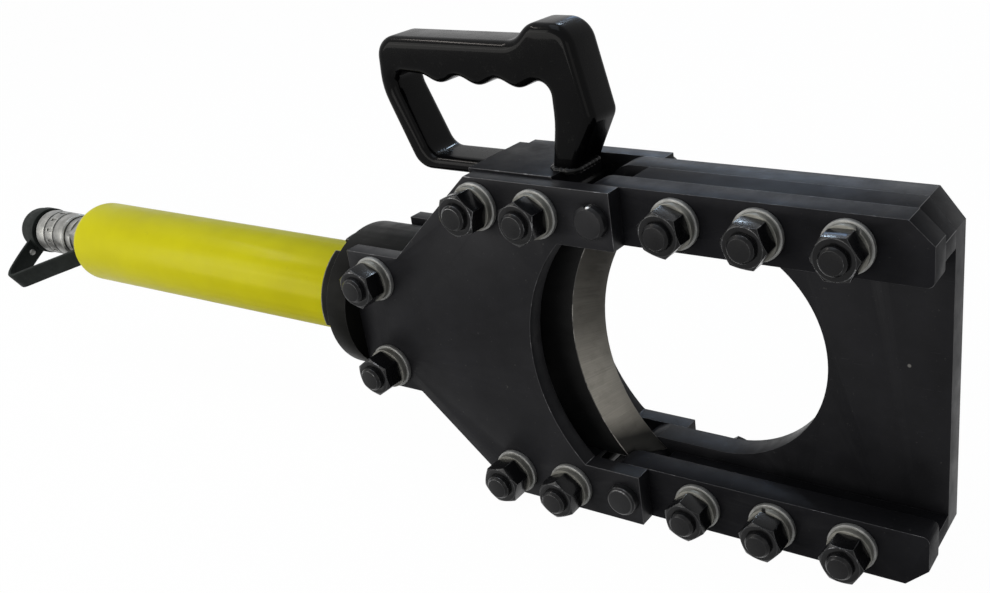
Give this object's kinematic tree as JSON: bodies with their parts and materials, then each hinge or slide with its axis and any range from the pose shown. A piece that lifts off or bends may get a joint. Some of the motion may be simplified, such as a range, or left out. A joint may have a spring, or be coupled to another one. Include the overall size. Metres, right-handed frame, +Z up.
{
  "type": "hydraulic cable cutter",
  "caption": "Remote pumped guillotine cutter for thick cable: a bolted plate head with a concave sliding blade, a spring return cylinder, a D-handle and a capped quick coupler.",
  "frame": {"origin": "centre of the bounding box at the height of the head's lower edges", "axes": "+X along the cylinder towards the blades, +Y from the nut side to the bolt head side, +Z up through the handle"},
  "size_m": [0.799, 0.111, 0.3055],
  "materials": {
    "black_plate": "satin black oxide with worn edges",
    "blade_steel": "dark tool steel with a ground bevel",
    "barrel_paint": "satin greenish yellow paint",
    "neck_steel": "dark phosphated steel",
    "handle_paint": "gloss black enamel",
    "pin_steel": "dark turned steel",
    "bolt_steel": "black oxide bolts and nuts",
    "zinc": "light zinc plated washers",
    "spring_washer_steel": "olive phosphated spring steel",
    "rod_chrome": "hard chrome",
    "inner_steel": "machined steel",
    "bronze": "bearing bronze",
    "seal_rubber": "oil resistant rubber",
    "backup_plastic": "off white plastic",
    "coupler_zinc": "bright zinc plated steel",
    "cap_rubber": "matt black rubber with a slight green cast"
  },
  "bodies": {
    "tool": {"front_fork_plate": "black_plate", "back_fork_plate": "black_plate", "top_fork_spacer": "black_plate", "bottom_fork_spacer": "black_plate", "fixed_blade": "black_plate", "top_front_rail": "black_plate", "bottom_front_rail": "black_plate", "top_groove_strip": "black_plate", "bottom_groove_strip": "black_plate", "hinge_pin": "pin_steel", "hinge_pin_ring": "pin_steel", "fork_bolts": "bolt_steel", "frame_bolts": "bolt_steel", "flat_washers": "zinc", "spring_washers": "spring_washer_steel", "hex_nuts": "bolt_steel", "neck_block": "neck_steel", "lock_collar": "neck_steel", "barrel": "barrel_paint", "barrel_oring": "seal_rubber", "rod_bush": "bronze", "rod_wiper": "seal_rubber", "return_spring": "inner_steel", "handle": "handle_paint", "nipple": "coupler_zinc", "coupler_body": "coupler_zinc", "sleeve_spring": "inner_steel", "sleeve_snap_ring": "inner_steel", "locking_balls": "inner_steel", "poppet_spring": "inner_steel", "cap_strap": "cap_rubber"},
    "ram": {"piston": "inner_steel", "piston_seal": "seal_rubber", "backup_ring": "backup_plastic", "piston_rod": "rod_chrome", "coupling_pin": "inner_steel", "moving_blade": "blade_steel"},
    "latch": {"latch_pin": "pin_steel", "detent_ball": "inner_steel"},
    "sleeve": {"coupler_sleeve": "coupler_zinc"},
    "poppet_valve": {"poppet": "bronze"},
    "cap": {"dust_cap": "cap_rubber"}
  },
  "joints": [
    {"name": "blade_slide", "type": "slide", "parent": "tool", "child": "ram", "axis": [1, 0, 0], "range_m": [0, 0.155], "stiffness_N_per_m": 6400, "springref_m": -0.02, "deforming": ["return_spring"]},
    {"name": "latch_pin_pull", "type": "slide", "parent": "tool", "child": "latch", "axis": [0, 1, 0], "range_m": [0, 0.085]},
    {"name": "sleeve_slide", "type": "slide", "parent": "tool", "child": "sleeve", "axis": [1, 0, 0], "range_m": [0, 0.0055], "stiffness_N_per_m": 2000, "springref_m": -0.004, "deforming": ["sleeve_spring"]},
    {"name": "poppet_push", "type": "slide", "parent": "tool", "child": "poppet_valve", "axis": [1, 0, 0], "range_m": [0, 0.004], "stiffness_N_per_m": 800, "springref_m": -0.004, "deforming": ["poppet_spring"]},
    {"name": "dust_cap_pull", "type": "slide", "parent": "tool", "child": "cap", "axis": [-1, 0, 0], "range_m": [0, 0.03], "deforming": ["cap_strap"]}
  ]
}
